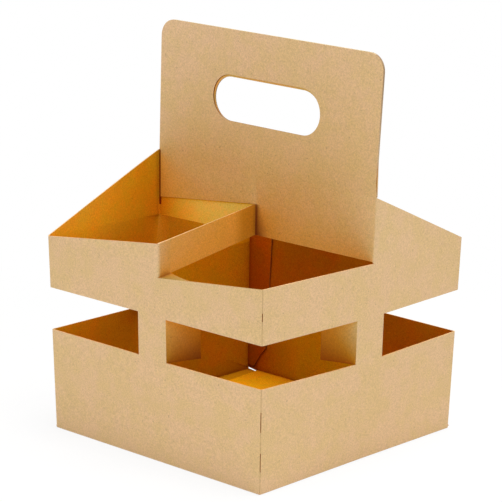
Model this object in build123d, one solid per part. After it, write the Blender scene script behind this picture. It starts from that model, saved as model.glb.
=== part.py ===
from build123d import *
import os
from math import cos, radians, sin

# A carrier for four cups, cut and folded from one blank of kraft board.
# Four walls stand round a lapped bottom and lean outwards a little.
# The end walls carry the two handle leaves, which are glued back to back across the middle.
# A strap is folded out of each side wall's top and holds that wall to the handle's middle.
# Windows are open round three corners, and the fourth has the glued joint of the blank.
# X runs along the handle, Y across it and Z up, from the middle of the bottom.

# Board
board = 0.8
bend_radius = 1.2

# Tray
base_side = 200.0
wall_lean = 0.0263
rim_height = 142.0
shoulder_above_rim = 46.2

# Windows, posts and the tabs folded in beside them
sill_height = 73.5
window_height = 30.2
post_width = 29.2
tab_length = 25.0
tab_fold = 64.0
tab_clearance = 0.4

# Racking of the folded board
handle_shift = 6.3
shoulder_rise = 3.0
end_bow = 5.5

# Straps
strap_offset = 8.0
strap_root_below_rim = 10.3
strap_root_width = 24.1
strap_end_above_rim = 0.4
strap_end_width = 22.7
strap_fold_reach = 108.0
web_along_strap = 10.5
web_along_wall = 27.0

# Handle
handle_cut_gap = 1.2
leaf_gap = 1.0
leaf_cut_above_rim = 14.1
handle_top_above_rim = 146.2
handle_top_drop = 2.7
handle_top_width = 208.7
handle_top_shift = 11.2
handle_corner_radius = 12.5

# Hand hole
hand_hole_length = 99.8
hand_hole_width = 31.8
hand_hole_depth = 50.5
hand_hole_shift = 9.6
hand_hole_tilt = 0.8

# Glued joint
joint_flap_width = 23.0
joint_flap_lean = 0.032
joint_flap_chamfer = 13.5
joint_flap_chamfer_rise = 16.5
joint_flap_foot = 5.5
corner_relief_width = 12.5

# Bottom flaps
side_flap_depth = 78.0
side_flap_taper = 34.0
main_flap_depth = 128.0
main_flap_taper = 12.0
closing_flap_depth = 118.0
closing_flap_taper = 22.0
tongue_width = 96.0
tongue_depth = 30.0
tongue_radius = 10.0

# Derived sizes
lintel_height = sill_height + window_height
post_half = post_width / 2
shoulder_height = rim_height + shoulder_above_rim
strap_root_low = rim_height - strap_root_below_rim
strap_root_high = strap_root_low + strap_root_width
strap_end_low = rim_height + strap_end_above_rim
strap_end_high = strap_end_low + strap_end_width
handle_low = rim_height + handle_cut_gap
leaf_cut_height = rim_height + leaf_cut_above_rim
handle_top_height = rim_height + handle_top_above_rim
hand_hole_height = handle_top_height - hand_hole_depth

# How far the cutting tools run outside the walls, inside them and above them
cut_outside = base_side
cut_inside = base_side / 4
cut_above = handle_top_height + base_side


def half(z):
    """Half of the tray's width at a height."""
    return base_side / 2 + wall_lean * z


def slope(a, za, b, zb, at):
    """The height of a sloping line at another place along it."""
    return za + (zb - za) * (at - a) / (b - a)


fold_right = handle_shift + half(rim_height)
fold_left = handle_shift - half(rim_height)
leaf_left = fold_left + board + leaf_gap
leaf_right = fold_right - board - leaf_gap
front_fold = fold_right - strap_fold_reach
rear_fold = fold_left + strap_fold_reach


def shoulder(x):
    """The height of the line between the two shoulders, which racking has tilted."""
    return slope(fold_left, shoulder_height + shoulder_rise, fold_right, shoulder_height, x)


def end_folds(z):
    """Where the end walls' middle folds stand at a height, left and right."""
    if z >= rim_height:
        return fold_left, fold_right
    if z >= sill_height:
        return -half(z), half(z) + end_bow
    return -half(z), half(z) + end_bow * max(z, 0.0) / sill_height


def outline(z, inset, radius):
    """The wall's outline at a height, moved in from the outer face."""
    left, right = end_folds(z)
    h = half(z) - inset
    points = [(h, -h), (right - inset, 0), (h, h), (-h, h), (left + inset, 0), (-h, -h)]
    edge = FilletPolyline(*points, radius=[radius, 0, radius, radius, 0, radius], close=True)
    return Pos(0, 0, z) * make_face(edge)


def walls():
    """The four walls as one folded band, as tall as the higher shoulder."""
    levels = [0, sill_height, lintel_height, rim_height, shoulder(fold_left)]
    outer = loft([outline(z, 0, bend_radius) for z in levels], ruled=True)
    inner = loft([outline(z, board, bend_radius - board) for z in levels], ruled=True)
    return outer - inner


def prism(points, low, high):
    """A plan outline raised between two heights."""
    return Pos(0, 0, low) * extrude(make_face(Polyline(*points, close=True)), high - low)


def side_slab(points):
    """An outline of X and Z, carried right through along Y."""
    face = make_face(Polyline(*[(x, 0, z) for x, z in points], close=True))
    return extrude(face, cut_outside, dir=(0, 1, 0), both=True)


def end_slab(points):
    """An outline of Y and Z, carried right through along X."""
    face = make_face(Polyline(*[(0, y, z) for y, z in points], close=True))
    return extrude(face, cut_outside, dir=(1, 0, 0), both=True)


def over(a, za, b, zb):
    """The outline of all that is above a sloping line."""
    return [(a, za), (b, zb), (b, cut_above), (a, cut_above)]


def twin(shape):
    """The same form on the opposite wall, half a turn about Z."""
    return Rot(0, 0, 180) * shape


def rim_waste(shoulder_at_fold):
    """The board above a side wall's top edge and an end wall's, over half of the tray."""
    out = cut_outside
    core = cut_inside
    corner = half(rim_height)
    root = strap_offset
    tall_end = slope(-corner, rim_height, root, strap_root_high, -out)
    tall = side_slab(over(-out, tall_end, root, strap_root_high))
    tall &= prism([(-out, -out), (root, -out), (root, -core), (-core, -core)], 0, cut_above)
    short_end = slope(root, strap_root_low, corner, rim_height, out)
    short = side_slab(over(root, strap_root_low, out, short_end))
    short &= prism([(root, -out), (out, -out), (core, -core), (root, -core)], 0, cut_above)
    level = prism([(out, -out), (out, 0), (core, 0), (core, -core)], rim_height, cut_above)
    shoulder_end = slope(0, shoulder_at_fold, corner, rim_height, out)
    sloping = end_slab(over(0, shoulder_at_fold, out, shoulder_end))
    sloping &= prism([(out, 0), (out, out), (core, core), (core, 0)], 0, cut_above)
    return [tall, short, level, sloping]


def windows():
    """The openings round three corners, between the posts."""
    near = post_half
    far = cut_outside
    openings = []
    for x, y in [(1, -1), (-1, -1), (1, 1)]:
        plan = [(x * near, y * near), (x * far, y * near), (x * far, y * far), (x * near, y * far)]
        openings.append(prism(plan, sill_height, lintel_height))
    return openings


def end_wall_x(z, sign):
    """Where an end wall's outer face stands beside its post, at a height."""
    left, right = end_folds(z)
    fold = right if sign > 0 else left
    return fold + (sign * half(z) - fold) * post_half / half(z)


def tab(hinge, along, inward):
    """A tab cut from the window and folded in at the edge of a post."""
    turn = radians(tab_fold)
    run = Vector(*along) * cos(turn) + Vector(*inward) * sin(turn)
    depth = Vector(*inward) * cos(turn) - Vector(*along) * sin(turn)
    sections = []
    for z in (sill_height + tab_clearance, lintel_height - tab_clearance):
        start = Vector(*hinge(z), z)
        end = start + run * tab_length
        corners = [start, end, end + depth * board, start + depth * board]
        sections.append(make_face(Polyline(*corners, close=True)))
    return loft(sections, ruled=True)


def tabs():
    """The tabs beside the windows, two for each."""
    side = post_half
    return [
        tab(lambda z: (side, -half(z)), (1, 0), (0, 1)),
        tab(lambda z: (-side, -half(z)), (-1, 0), (0, 1)),
        tab(lambda z: (side, half(z)), (1, 0), (0, -1)),
        tab(lambda z: (end_wall_x(z, 1), -side), (0, -1), (-1, 0)),
        tab(lambda z: (end_wall_x(z, 1), side), (0, 1), (-1, 0)),
        tab(lambda z: (end_wall_x(z, -1), -side), (0, -1), (1, 0)),
    ]


def plate(points, direction):
    """A flat outline in space, given the board's thickness one way."""
    return extrude(make_face(Polyline(*points, close=True)), board, dir=direction)


def strap(fold, sign):
    """A strap from a side wall's top to the handle, with the web at its root."""
    def on_strap(depth, z):
        across = depth / half(strap_root_low)
        return Vector(fold + (sign * strap_offset - fold) * across, -sign * depth, z)
    root_low = on_strap(half(strap_root_low) - board / 2, strap_root_low)
    root_high = on_strap(half(strap_root_high) - board / 2, strap_root_high)
    end_low = on_strap(board / 2, strap_end_low)
    end_high = on_strap(board / 2, strap_end_high)
    band = plate([root_low, root_high, end_high, end_low], (-sign, 0, 0))
    along = (end_low - root_low).normalized()
    web_root = root_low - Vector(sign * board / 2, 0, 0)
    web_end = strap_offset + web_along_wall
    wall_top = slope(strap_offset, strap_root_low, half(rim_height), rim_height, web_end)
    on_wall = Vector(sign * web_end, -sign * (half(wall_top) - board / 2), wall_top)
    web = plate([web_root, web_root + along * web_along_strap, on_wall], (0, 0, -1))
    return band + web


def handle_top():
    """The handle above the shoulders, where both leaves have one outline."""
    left = handle_top_shift - handle_top_width / 2
    right = handle_top_shift + handle_top_width / 2
    points = [(leaf_left, 0, shoulder(leaf_left)), (fold_right, 0, shoulder(fold_right)),
              (right, 0, handle_top_height - handle_top_drop), (left, 0, handle_top_height)]
    edge = FilletPolyline(*points, radius=[0, 0, handle_corner_radius, handle_corner_radius], close=True)
    sheet = extrude(make_face(edge), board, dir=(0, 1, 0), both=True)
    hole_place = Pos(hand_hole_shift, 0, hand_hole_height) * Rot(0, hand_hole_tilt, 0) * Rot(90, 0, 0)
    hole = extrude(hole_place * SlotOverall(hand_hole_length, hand_hole_width), 2 * board, both=True)
    return sheet - hole


def leaf(hinge, free, fold, side):
    """The lower part of a handle leaf: its fold on an end wall, its free edge and the strap's fold."""
    points = [(hinge, 0, handle_low), (hinge, 0, shoulder(hinge)), (free, 0, shoulder(free)),
              (free, 0, leaf_cut_height), (fold, 0, strap_end_high), (fold, 0, handle_low)]
    return plate(points, (0, side, 0))


def joint_flap():
    """The flap of the blank's last edge, glued inside the rear wall beside the left one."""
    def hinge(z):
        return (-half(z) + board / 2, half(z) - board, z)
    def free(z, back):
        return (joint_flap_width + joint_flap_lean * z - back - half(0), half(z) - board, z)
    low = joint_flap_foot
    high = rim_height - joint_flap_foot
    points = [hinge(low), free(low, joint_flap_chamfer), free(low + joint_flap_chamfer_rise, 0),
              free(high - joint_flap_chamfer_rise, 0), free(high, joint_flap_chamfer), hinge(high)]
    return plate(points, (0, -1, 0))


def bottom():
    """The lapped bottom: two side flaps between the main flap and the closing flap."""
    wall = base_side / 2 - board / 2
    closing_end = closing_flap_depth - wall
    closing_tip = wall - closing_flap_taper
    closing = prism([(-wall, -wall), (wall, -wall), (closing_tip, closing_end),
                     (-closing_tip, closing_end)], 0, board)
    tongue = extrude(RectangleRounded(tongue_width, 2 * tongue_depth, tongue_radius), board)
    tongue = Pos(0, closing_end, 0) * tongue
    side_end = wall - side_flap_depth
    side_tip = wall - side_flap_taper
    side = prism([(wall, -wall), (wall, wall), (side_end, side_tip), (side_end, -side_tip)],
                 board, 2 * board)
    main_end = wall - main_flap_depth
    main_tip = wall - main_flap_taper
    relief = wall - corner_relief_width
    main = prism([(-relief, wall), (wall, wall), (main_tip, main_end), (-main_tip, main_end),
                  (-main_tip, relief)], 2 * board, 3 * board)
    return [closing, tongue, side, twin(side), main]


def corner_relief():
    """The notch at the foot of the glued corner, where no flap is folded."""
    size = corner_relief_width + board
    block = Box(size, size, joint_flap_foot, align=(Align.MIN, Align.MAX, Align.MIN))
    return Pos(-half(0) + board, half(rim_height), 0) * block


def carrier():
    """The whole folded board as one solid."""
    band = walls()
    waste = rim_waste(shoulder(fold_right))
    waste += [twin(piece) for piece in rim_waste(shoulder(fold_left))]
    for piece in waste + windows():
        band -= piece
    front_leaf = leaf(fold_right, leaf_left, front_fold - board, -1)
    rear_leaf = leaf(fold_left, leaf_right, rear_fold + board, 1)
    front_strap = strap(front_fold, 1)
    rear_strap = strap(rear_fold, -1)
    middle = [handle_top(), front_leaf, rear_leaf, front_strap, rear_strap]
    for piece in middle + tabs() + [joint_flap()] + bottom():
        band += piece
    return band - corner_relief()


os.makedirs("parts", exist_ok=True)
body = carrier()
body.label = "carrier"
print("carrier solids", len(body.solids()), "volume", round(body.volume), "valid", body.is_valid)
export_step(body, "parts/carrier.step")
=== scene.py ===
# %% [markdown]
# # A cup carrier, folded from one blank of kraft board
#
# The carrier is a square tray for four cups, with a tall handle across its middle.
# It is one sheet of board, cut, creased, folded and glued, so this lesson builds one thin skin,
# gives it the board's thickness, and dresses it in three finishes: outer face, inner face and cut edge.

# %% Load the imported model
from math import cos, pi, radians, sin

import bmesh
import bpy
from mathutils import Matrix, Vector


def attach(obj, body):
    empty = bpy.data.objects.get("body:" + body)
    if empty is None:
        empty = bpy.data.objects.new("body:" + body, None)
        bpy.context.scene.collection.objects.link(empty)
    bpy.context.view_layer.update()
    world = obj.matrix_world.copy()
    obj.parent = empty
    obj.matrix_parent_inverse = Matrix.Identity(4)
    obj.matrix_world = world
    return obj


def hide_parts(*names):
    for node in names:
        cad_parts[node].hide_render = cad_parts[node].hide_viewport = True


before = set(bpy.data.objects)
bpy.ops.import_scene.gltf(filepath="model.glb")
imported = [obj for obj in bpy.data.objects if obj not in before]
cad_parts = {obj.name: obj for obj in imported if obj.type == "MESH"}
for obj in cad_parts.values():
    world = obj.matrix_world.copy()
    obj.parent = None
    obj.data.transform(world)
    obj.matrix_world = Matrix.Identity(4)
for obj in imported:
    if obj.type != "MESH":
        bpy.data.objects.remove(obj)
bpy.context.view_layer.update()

MM = 0.001
print("CAD nodes:", sorted(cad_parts))

# %% [markdown]
# ## The camera
#
# The photograph was taken from a little above, with a long lens, at the corner where the front wall
# (to -Y) meets the right end wall (to +X). The camera could be placed by eye, but its place was worked
# out from the photograph's straight edges, so that each fold lands where it does there.

# %% Place the camera
CAMERA_TURN, CAMERA_RISE, CAMERA_ROLL = radians(42.931), radians(14.013), radians(0.67)
CAMERA_TARGET = Vector((0, 0, 100))
CAMERA_DISTANCE = 1584.585
CAMERA_RIGHT, CAMERA_UP = -2.252, 30.46
PICTURE_SIDE, FOCAL_PIXELS = 502, 2220.443
SENSOR_WIDTH = 36.0
FURTHEST_SEEN = 50.0

back = Vector((sin(CAMERA_TURN) * cos(CAMERA_RISE), -cos(CAMERA_TURN) * cos(CAMERA_RISE), sin(CAMERA_RISE)))
level_right = Vector((cos(CAMERA_TURN), sin(CAMERA_TURN), 0))
level_up = back.cross(level_right)
right = level_right * cos(CAMERA_ROLL) + level_up * sin(CAMERA_ROLL)
up = level_up * cos(CAMERA_ROLL) - level_right * sin(CAMERA_ROLL)
eye = CAMERA_TARGET + right * CAMERA_RIGHT + up * CAMERA_UP + back * CAMERA_DISTANCE

bpy.ops.object.camera_add()
camera = bpy.context.object
camera.name = "camera"
camera.data.sensor_width = SENSOR_WIDTH
camera.data.lens = FOCAL_PIXELS / PICTURE_SIDE * SENSOR_WIDTH
camera.data.clip_end = FURTHEST_SEEN
turned = Matrix((right, up, back)).transposed()
camera.matrix_world = Matrix.Translation(eye * MM) @ turned.to_4x4()
bpy.context.scene.camera = camera
print("lens", round(camera.data.lens, 1), "mm, eye in mm", [round(v) for v in eye])

# %% [markdown]
# ## The carrier's sizes
#
# These are the sizes that the CAD solid was built from, in millimetres. The walls lean out a little,
# and the folded board is racked: the handle stands a few millimetres to the right, the right end wall
# bows out, and the left shoulder stands higher than the right one. A folded carton is never quite true.

# %% Write down the sizes
BOARD = 0.8
BASE_SIDE = 200.0
WALL_LEAN = 0.0263
SILL, LINTEL, RIM = 73.5, 103.7, 142.0
POST_HALF = 14.6
HANDLE_SHIFT = 6.3
END_BOW = 5.5
SHOULDER_RIGHT, SHOULDER_LEFT = 188.2, 191.2
# A leaf's free edge stops this far from the fold of the other end wall.
FRONT_LEAF_GAP, REAR_LEAF_GAP = 3.2, 1.8


def half(z):
    """Half of the tray's width at a height."""
    return BASE_SIDE / 2 + WALL_LEAN * z


FOLD_RIGHT = HANDLE_SHIFT + half(RIM)
FOLD_LEFT = HANDLE_SHIFT - half(RIM)
LEAF_LEFT = FOLD_LEFT + FRONT_LEAF_GAP
LEAF_RIGHT = FOLD_RIGHT - REAR_LEAF_GAP


def shoulder(x):
    """The height of the line between the two shoulders."""
    share = (x - FOLD_LEFT) / (FOLD_RIGHT - FOLD_LEFT)
    return SHOULDER_LEFT + (SHOULDER_RIGHT - SHOULDER_LEFT) * share


print("rim", round(2 * half(RIM), 1), "mm across, handle folds at", round(FOLD_LEFT, 1), round(FOLD_RIGHT, 1))

# %% [markdown]
# ## Selecting by place
#
# A folded sheet is modelled as a carton maker draws it: start from a simple skin, score it where the
# folds are, cut the outline, and remove the waste. In edit mode the hand picks what it works on by
# clicking. A script has no hand, so these helpers pick points, edges and faces by where they are.

# %% Make the helpers that pick
def near(a, b, reach=0.06):
    """Whether two measures agree, within a few hundredths of a millimetre unless reach says more."""
    return abs(a - b) < reach


def within(value, low, high, slack=0.1):
    """Whether a measure is from low to high, with both ends taken in."""
    return low - slack < value < high + slack


def everywhere(x, y, z):
    """The test that picks everything."""
    return True


def places_of(part):
    """Where a point is, where an edge's two ends are, or where a face's middle is."""
    if isinstance(part, bmesh.types.BMVert):
        return [part.co]
    if isinstance(part, bmesh.types.BMEdge):
        return [point.co for point in part.verts]
    return [part.calc_center_median()]


def pick_parts(kind, test):
    """Select the points, edges or faces that pass a test of themselves, and count them."""
    bpy.ops.mesh.select_mode(type=kind)
    bpy.ops.mesh.select_all(action="DESELECT")
    mesh = bmesh.from_edit_mesh(bpy.context.edit_object.data)
    parts = {"VERT": mesh.verts, "EDGE": mesh.edges, "FACE": mesh.faces}[kind]
    picked = [part for part in parts if test(part)]
    for part in picked:
        part.select_set(True)
    bmesh.update_edit_mesh(bpy.context.edit_object.data)
    return len(picked)


def pick(kind, test):
    """Select the points, edges or faces that lie where test(x, y, z) is true, in millimetres."""
    return pick_parts(kind, lambda part: all(test(*(place / MM)) for place in places_of(part)))


print("helpers that pick are ready")

# %% [markdown]
# ## Scoring, trimming and pushing
#
# Scoring adds a line of points across some faces and leaves the sheet whole. Trimming cuts along a line
# and takes the waste away. Pushing an edge out makes new board from it, as a flap grows from its wall.
# Bisect, delete and extrude do these by hand, and each helper here is one of them with its selection.

# %% Make the helpers that cut and push
CUT_TOLERANCE = 0.02
MERGE_REACH = 0.01


def score(test, axis, *places):
    """Score the faces that pass the test with planes square to X, Y or Z."""
    normal = {"x": (1, 0, 0), "y": (0, 1, 0), "z": (0, 0, 1)}[axis]
    for at in places:
        pick("FACE", test)
        bpy.ops.mesh.bisect(plane_co=Vector(normal) * at * MM, plane_no=normal, threshold=CUT_TOLERANCE * MM)


def cut_normal(start, stop, through):
    """The normal of the plane that holds the line from start to stop and runs through the sheet."""
    return (Vector(stop) - Vector(start)).cross(Vector(through)).normalized()


def score_line(test, start, stop, through):
    """Score the faces that pass the test along the line from start to stop."""
    normal = cut_normal(start, stop, through)
    pick("FACE", test)
    bpy.ops.mesh.bisect(plane_co=Vector(start) * MM, plane_no=normal, threshold=CUT_TOLERANCE * MM)


def heal():
    """Merge points that lie on each other, so that the skin is one sheet again."""
    bpy.ops.mesh.select_all(action="SELECT")
    bpy.ops.mesh.remove_doubles(threshold=MERGE_REACH * MM)


def trim(test, start, stop, through, keep):
    """Cut the faces that pass the test along a line, and remove what lies across it from keep."""
    normal = cut_normal(start, stop, through)
    if (Vector(keep) - Vector(start)).dot(normal) > 0:
        normal.negate()
    pick("FACE", test)
    # The faces are split off first, because trimming takes away points that their neighbours share.
    bpy.ops.mesh.split()
    bpy.ops.mesh.bisect(
        plane_co=Vector(start) * MM, plane_no=normal, clear_outer=True, threshold=CUT_TOLERANCE * MM)
    heal()


def cut_out(test):
    """Remove the faces that lie where the test is true."""
    pick("FACE", test)
    bpy.ops.mesh.delete(type="FACE")


def move(x=0, y=0, z=0):
    """Move what is picked, in millimetres."""
    bpy.ops.transform.translate(value=(x * MM, y * MM, z * MM))


def push_out(x=0, y=0, z=0):
    """Push new board out of the picked edges, in millimetres."""
    bpy.ops.mesh.extrude_edges_move(TRANSFORM_OT_translate={"value": (x * MM, y * MM, z * MM)})


def round_off(kind, size, steps):
    """Bevel the picked edges or points, in millimetres."""
    bpy.ops.mesh.bevel(offset=size * MM, segments=steps, affect=kind)


print("helpers that cut and push are ready")

# %% [markdown]
# ## Starting and ending a piece
#
# Each sheet starts as a plane. Its place and turn are written into its mesh, so that the object itself
# stays at the origin, unturned. Nothing else may be selected, because an operator acts on all that is.

# %% Make the helpers that start and end
def select_pieces(*pieces):
    """Select these pieces and nothing else. The last one is the active piece."""
    bpy.ops.object.select_all(action="DESELECT")
    for piece in pieces:
        piece.select_set(True)
    bpy.context.view_layer.objects.active = pieces[-1]


def new_sheet(name, side, middle=(0, 0, 0), turn=0.0):
    """Add a square sheet, turned about X, and go into edit mode."""
    bpy.ops.object.select_all(action="DESELECT")
    place = [v * MM for v in middle]
    bpy.ops.mesh.primitive_plane_add(size=side * MM, location=place, rotation=(turn, 0, 0))
    sheet = bpy.context.object
    sheet.name = sheet.data.name = name
    bpy.ops.object.transform_apply(location=True, rotation=True, scale=True)
    bpy.ops.object.mode_set(mode="EDIT")
    return sheet


def end(piece):
    """Leave edit mode and say what there is."""
    bpy.ops.object.mode_set(mode="OBJECT")
    print(piece.name, len(piece.data.vertices), "points,", len(piece.data.polygons), "faces")


print("helpers that start and end are ready")

# %% [markdown]
# ## The band of four walls
#
# The walls are one band round four corners. A square is drawn up level by level, a little wider each
# time for the lean, and the levels are where the real blank has its cuts: the windows' sills and
# lintels, and the rim. The two end walls get their middle fold and are pushed out of true there.

# %% Draw up the band
band = new_sheet("carrier_board", BASE_SIDE)
levels = [0, SILL, LINTEL, RIM, SHOULDER_LEFT]
for low, high in zip(levels, levels[1:]):
    bpy.ops.mesh.extrude_region_move(TRANSFORM_OT_translate={"value": (0, 0, (high - low) * MM)})
    grow = half(high) / half(low)
    bpy.ops.transform.resize(value=(grow, grow, 1), center_override=(0, 0, 0))
pick_parts("FACE", lambda face: abs(face.normal.z) > 0.5)
bpy.ops.mesh.delete(type="ONLY_FACE")
bpy.ops.mesh.select_all(action="SELECT")
bpy.ops.mesh.normals_make_consistent(inside=False)
score(everywhere, "y", 0)
for level in levels:
    end_right = FOLD_RIGHT if level >= RIM else half(level) + (END_BOW if level else 0)
    end_left = FOLD_LEFT if level >= RIM else -half(level)
    for side, end_at in ((1, end_right), (-1, end_left)):
        pick("VERT", lambda x, y, z: x * side > 0 and near(y, 0) and near(z, level))
        move(x=end_at - side * half(level))
end(band)

# %% [markdown]
# ## Lines on the walls
#
# Next the walls are scored where something will happen: beside the posts, at the straps' roots, and at
# a few places where the board will settle or its tone will change. Modelling one half and turning it
# would do, but the racked handle makes the halves differ, so each step is told which side it works on.

# %% Score the walls
STRAP_ROOT = 8.0
ROOT_LOW, ROOT_HIGH = 132.0, 155.8
FOOT_SLICE, LOW_SLICE, BAND_SLICE = 24.0, 49.0, 122.0
END_WALL_SLICES = (-70.0, -35.0, -POST_HALF, POST_HALF, 35.0, 70.0)
# Whatever lies further from the middle than this is on a wall.
WALL_ZONE = 90.0


def on_side_wall(side, y):
    """Whether a place is on the front wall (side 1) or on the rear wall (side -1)."""
    return y * side < -WALL_ZONE


bpy.ops.object.mode_set(mode="EDIT")
score(lambda x, y, z: abs(x) > WALL_ZONE, "y", *END_WALL_SLICES)
score(lambda x, y, z: abs(y) > WALL_ZONE, "x", -POST_HALF, POST_HALF)
score(everywhere, "z", FOOT_SLICE, LOW_SLICE, BAND_SLICE)
for side in (1, -1):
    score(lambda x, y, z: on_side_wall(side, y) and z > LINTEL, "x", side * STRAP_ROOT)
    score(lambda x, y, z: on_side_wall(side, y) and z > LINTEL, "z", ROOT_LOW)
print("faces in the band:", pick("FACE", everywhere))

# %% [markdown]
# ## Windows and rims
#
# Three of the four corners are open, between a sill and a lintel. The rim isn't level everywhere: each
# side wall rises towards the root of its strap, and half of each end wall rises to a shoulder, where it
# folds into the handle. Removing faces and trimming along sloping lines does what the cutting die does.

# %% Cut the windows and the rims
HANDLE_LOW = 142.3
STRAP_END_LOW, STRAP_END_HIGH = 143.6, 165.9


def in_window(x, y, z):
    """Whether a place is in one of the three windows, away from the glued corner."""
    open_corner = not x < 0 < y
    return SILL < z < LINTEL and abs(x) > POST_HALF and abs(y) > POST_HALF and open_corner


def rises_to_shoulder(side, x, y, z):
    """Whether a place is above the rim, on the half of an end wall that folds into a leaf."""
    return x * side < -WALL_ZONE and y * side < 0 and z > RIM


cut_out(in_window)
for side in (1, -1):
    rim_corner, root = side * half(RIM), side * STRAP_ROOT
    shoulder_top = SHOULDER_LEFT if side > 0 else SHOULDER_RIGHT
    # The side wall's rim rises to the strap's upper edge, and falls from its lower edge.
    trim(lambda x, y, z: on_side_wall(side, y) and (x - root) * side < 0 and z > RIM,
         (-rim_corner, 0, RIM), (root, 0, ROOT_HIGH), (0, 1, 0), keep=(0, 0, 0))
    trim(lambda x, y, z: on_side_wall(side, y) and (x - root) * side > 0 and z > LINTEL,
         (root, 0, ROOT_LOW), (rim_corner, 0, RIM), (0, 1, 0), keep=(0, 0, 0))
    # One half of the end wall ends at the rim, and the other rises to its shoulder.
    cut_out(lambda x, y, z: x * side > WALL_ZONE and y * side < 0 and z > RIM)
    trim(lambda x, y, z: rises_to_shoulder(side, x, y, z),
         (0, -rim_corner, RIM), (0, 0, shoulder_top), (1, 0, 0), keep=(0, 0, 0))
    score(lambda x, y, z: rises_to_shoulder(side, x, y, z), "z", HANDLE_LOW, STRAP_END_HIGH)
    pick("VERT", lambda x, y, z: x * side < -WALL_ZONE and near(y, 0) and z > HANDLE_LOW - 0.1)
    move(y=side * BOARD)
bpy.ops.mesh.select_all(action="SELECT")
bpy.ops.mesh.delete_loose()
end(band)

# %% [markdown]
# ## The two handle leaves
#
# Each end wall folds at its shoulder into a leaf that runs across the tray, and the two leaves are glued
# back to back, so the handle is two boards thick. A leaf is a plain sheet, trimmed along its straight
# edges. The lower corner of each leaf is missing, because the strap was folded out of it.

# %% Cut the leaves
TOP_LEFT, TOP_RIGHT = (-93.15, 288.2), (115.5, 285.5)
CORNER_RADIUS, CORNER_STEPS = 12.5, 8
LEAF_CUT = 156.1
FRONT_FOLD = FOLD_RIGHT - 108.9
REAR_FOLD = FOLD_LEFT + 108.0
# The leaves' left edge steps out by this above the shoulder.
SHOULDER_STEP = 1.2
LEAF_SHEET, LEAF_SHEET_X, LEAF_SHEET_Z = 260.0, 10.0, 215.0
INSIDE_LEAF = (0, 0, 240)


def above_shoulders(x, y, z):
    """Whether a place is above the line between the shoulders."""
    return z > shoulder(x)


def below_shoulders(x, y, z):
    """Whether a place is below the line between the shoulders."""
    return z < shoulder(x)


def make_leaf(name, side, hinge, free, fold):
    """A handle leaf: side is -1 for the front and 1 for the rear."""
    leaf = new_sheet(name, LEAF_SHEET, (LEAF_SHEET_X, side * BOARD, LEAF_SHEET_Z), -side * pi / 2)
    across = (0, 1, 0)
    top_left, top_right = (TOP_LEFT[0], 0, TOP_LEFT[1]), (TOP_RIGHT[0], 0, TOP_RIGHT[1])
    trim(everywhere, (hinge, 0, HANDLE_LOW), (fold, 0, STRAP_END_LOW), across, keep=INSIDE_LEAF)
    score_line(everywhere, (FOLD_LEFT, 0, SHOULDER_LEFT), (FOLD_RIGHT, 0, SHOULDER_RIGHT), across)
    for start, stop in (
        ((LEAF_LEFT - SHOULDER_STEP, 0, shoulder(LEAF_LEFT)), top_left),
        ((FOLD_RIGHT, 0, SHOULDER_RIGHT), top_right),
        (top_left, top_right),
    ):
        trim(above_shoulders, start, stop, across, keep=INSIDE_LEAF)
    for at in (hinge, free):
        trim(below_shoulders, (at, 0, 0), (at, 0, 100), across, keep=INSIDE_LEAF)
    score(below_shoulders, "z", STRAP_END_HIGH)
    score(below_shoulders, "x", fold)
    trim(lambda x, y, z: z < STRAP_END_HIGH and (x - fold) * side > 0,
         (free, 0, LEAF_CUT), (fold, 0, STRAP_END_HIGH), across, keep=INSIDE_LEAF)
    pick("VERT", lambda x, y, z: z > TOP_RIGHT[1] - 5)
    round_off("VERTICES", CORNER_RADIUS, CORNER_STEPS)
    end(leaf)
    return leaf


front_leaf = make_leaf("front_leaf", -1, FOLD_RIGHT, LEAF_LEFT, FRONT_FOLD)
rear_leaf = make_leaf("rear_leaf", 1, FOLD_LEFT, LEAF_RIGHT, REAR_FOLD)

# %% [markdown]
# ## The hand hole
#
# The hole for the fingers is a slot with round ends, a little tilted with the racked handle. It could be
# cut with a boolean, but a clean edge loop comes from drawing the slot itself, as a rectangle with round
# corners, and filling the leaf between it and a square opening round it. The leaves are glued by hand, so
# the rear one sits a millimetre lower, and shows as a dark sliver along the top and left of the hole.

# %% Cut the hand hole in both leaves
HOLE_TILT = radians(0.8)
HOLE_MARGIN = 8.0
# Two arcs of a slot's end must not quite meet, or their points would fall together.
ARC_SPARE, ARC_STEPS = 0.05, 12


def cut_hand_hole(leaf, side, middle, length, width):
    """Open a slot in a leaf, with its right end lower, and fill the sheet again round its edge."""
    select_pieces(leaf)
    bpy.ops.object.mode_set(mode="EDIT")
    x0, x1 = middle[0] - length / 2 - HOLE_MARGIN, middle[0] + length / 2 + HOLE_MARGIN
    z0, z1 = middle[1] - width / 2 - HOLE_MARGIN, middle[1] + width / 2 + HOLE_MARGIN
    score(above_shoulders, "x", x0, x1)
    score(above_shoulders, "z", z0, z1)
    cut_out(lambda x, y, z: x0 < x < x1 and z0 < z < z1)
    place = (middle[0] * MM, side * BOARD * MM, middle[1] * MM)
    bpy.ops.mesh.primitive_plane_add(size=width * MM, location=place, rotation=(-side * pi / 2, 0, 0))
    bpy.ops.transform.resize(value=(length / width, 1, 1), center_override=place)
    # With no window this operator turns the other way, so the angle is negative.
    bpy.ops.transform.rotate(value=-HOLE_TILT, orient_axis="Y", center_override=place)
    round_off("VERTICES", width / 2 - ARC_SPARE, ARC_STEPS)
    opened = pick("FACE", lambda x, y, z: near(x, middle[0], 1) and near(z, middle[1], 1))
    print("slot faces opened:", opened)
    bpy.ops.mesh.delete(type="ONLY_FACE")
    pick("EDGE", lambda x, y, z: within(x, x0, x1) and within(z, z0, z1))
    bpy.ops.mesh.fill()
    end(leaf)


cut_hand_hole(front_leaf, -1, middle=(9.3, 238.1), length=101.0, width=33.0)
cut_hand_hole(rear_leaf, 1, middle=(10.0, 237.2), length=99.8, width=31.8)

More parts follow.
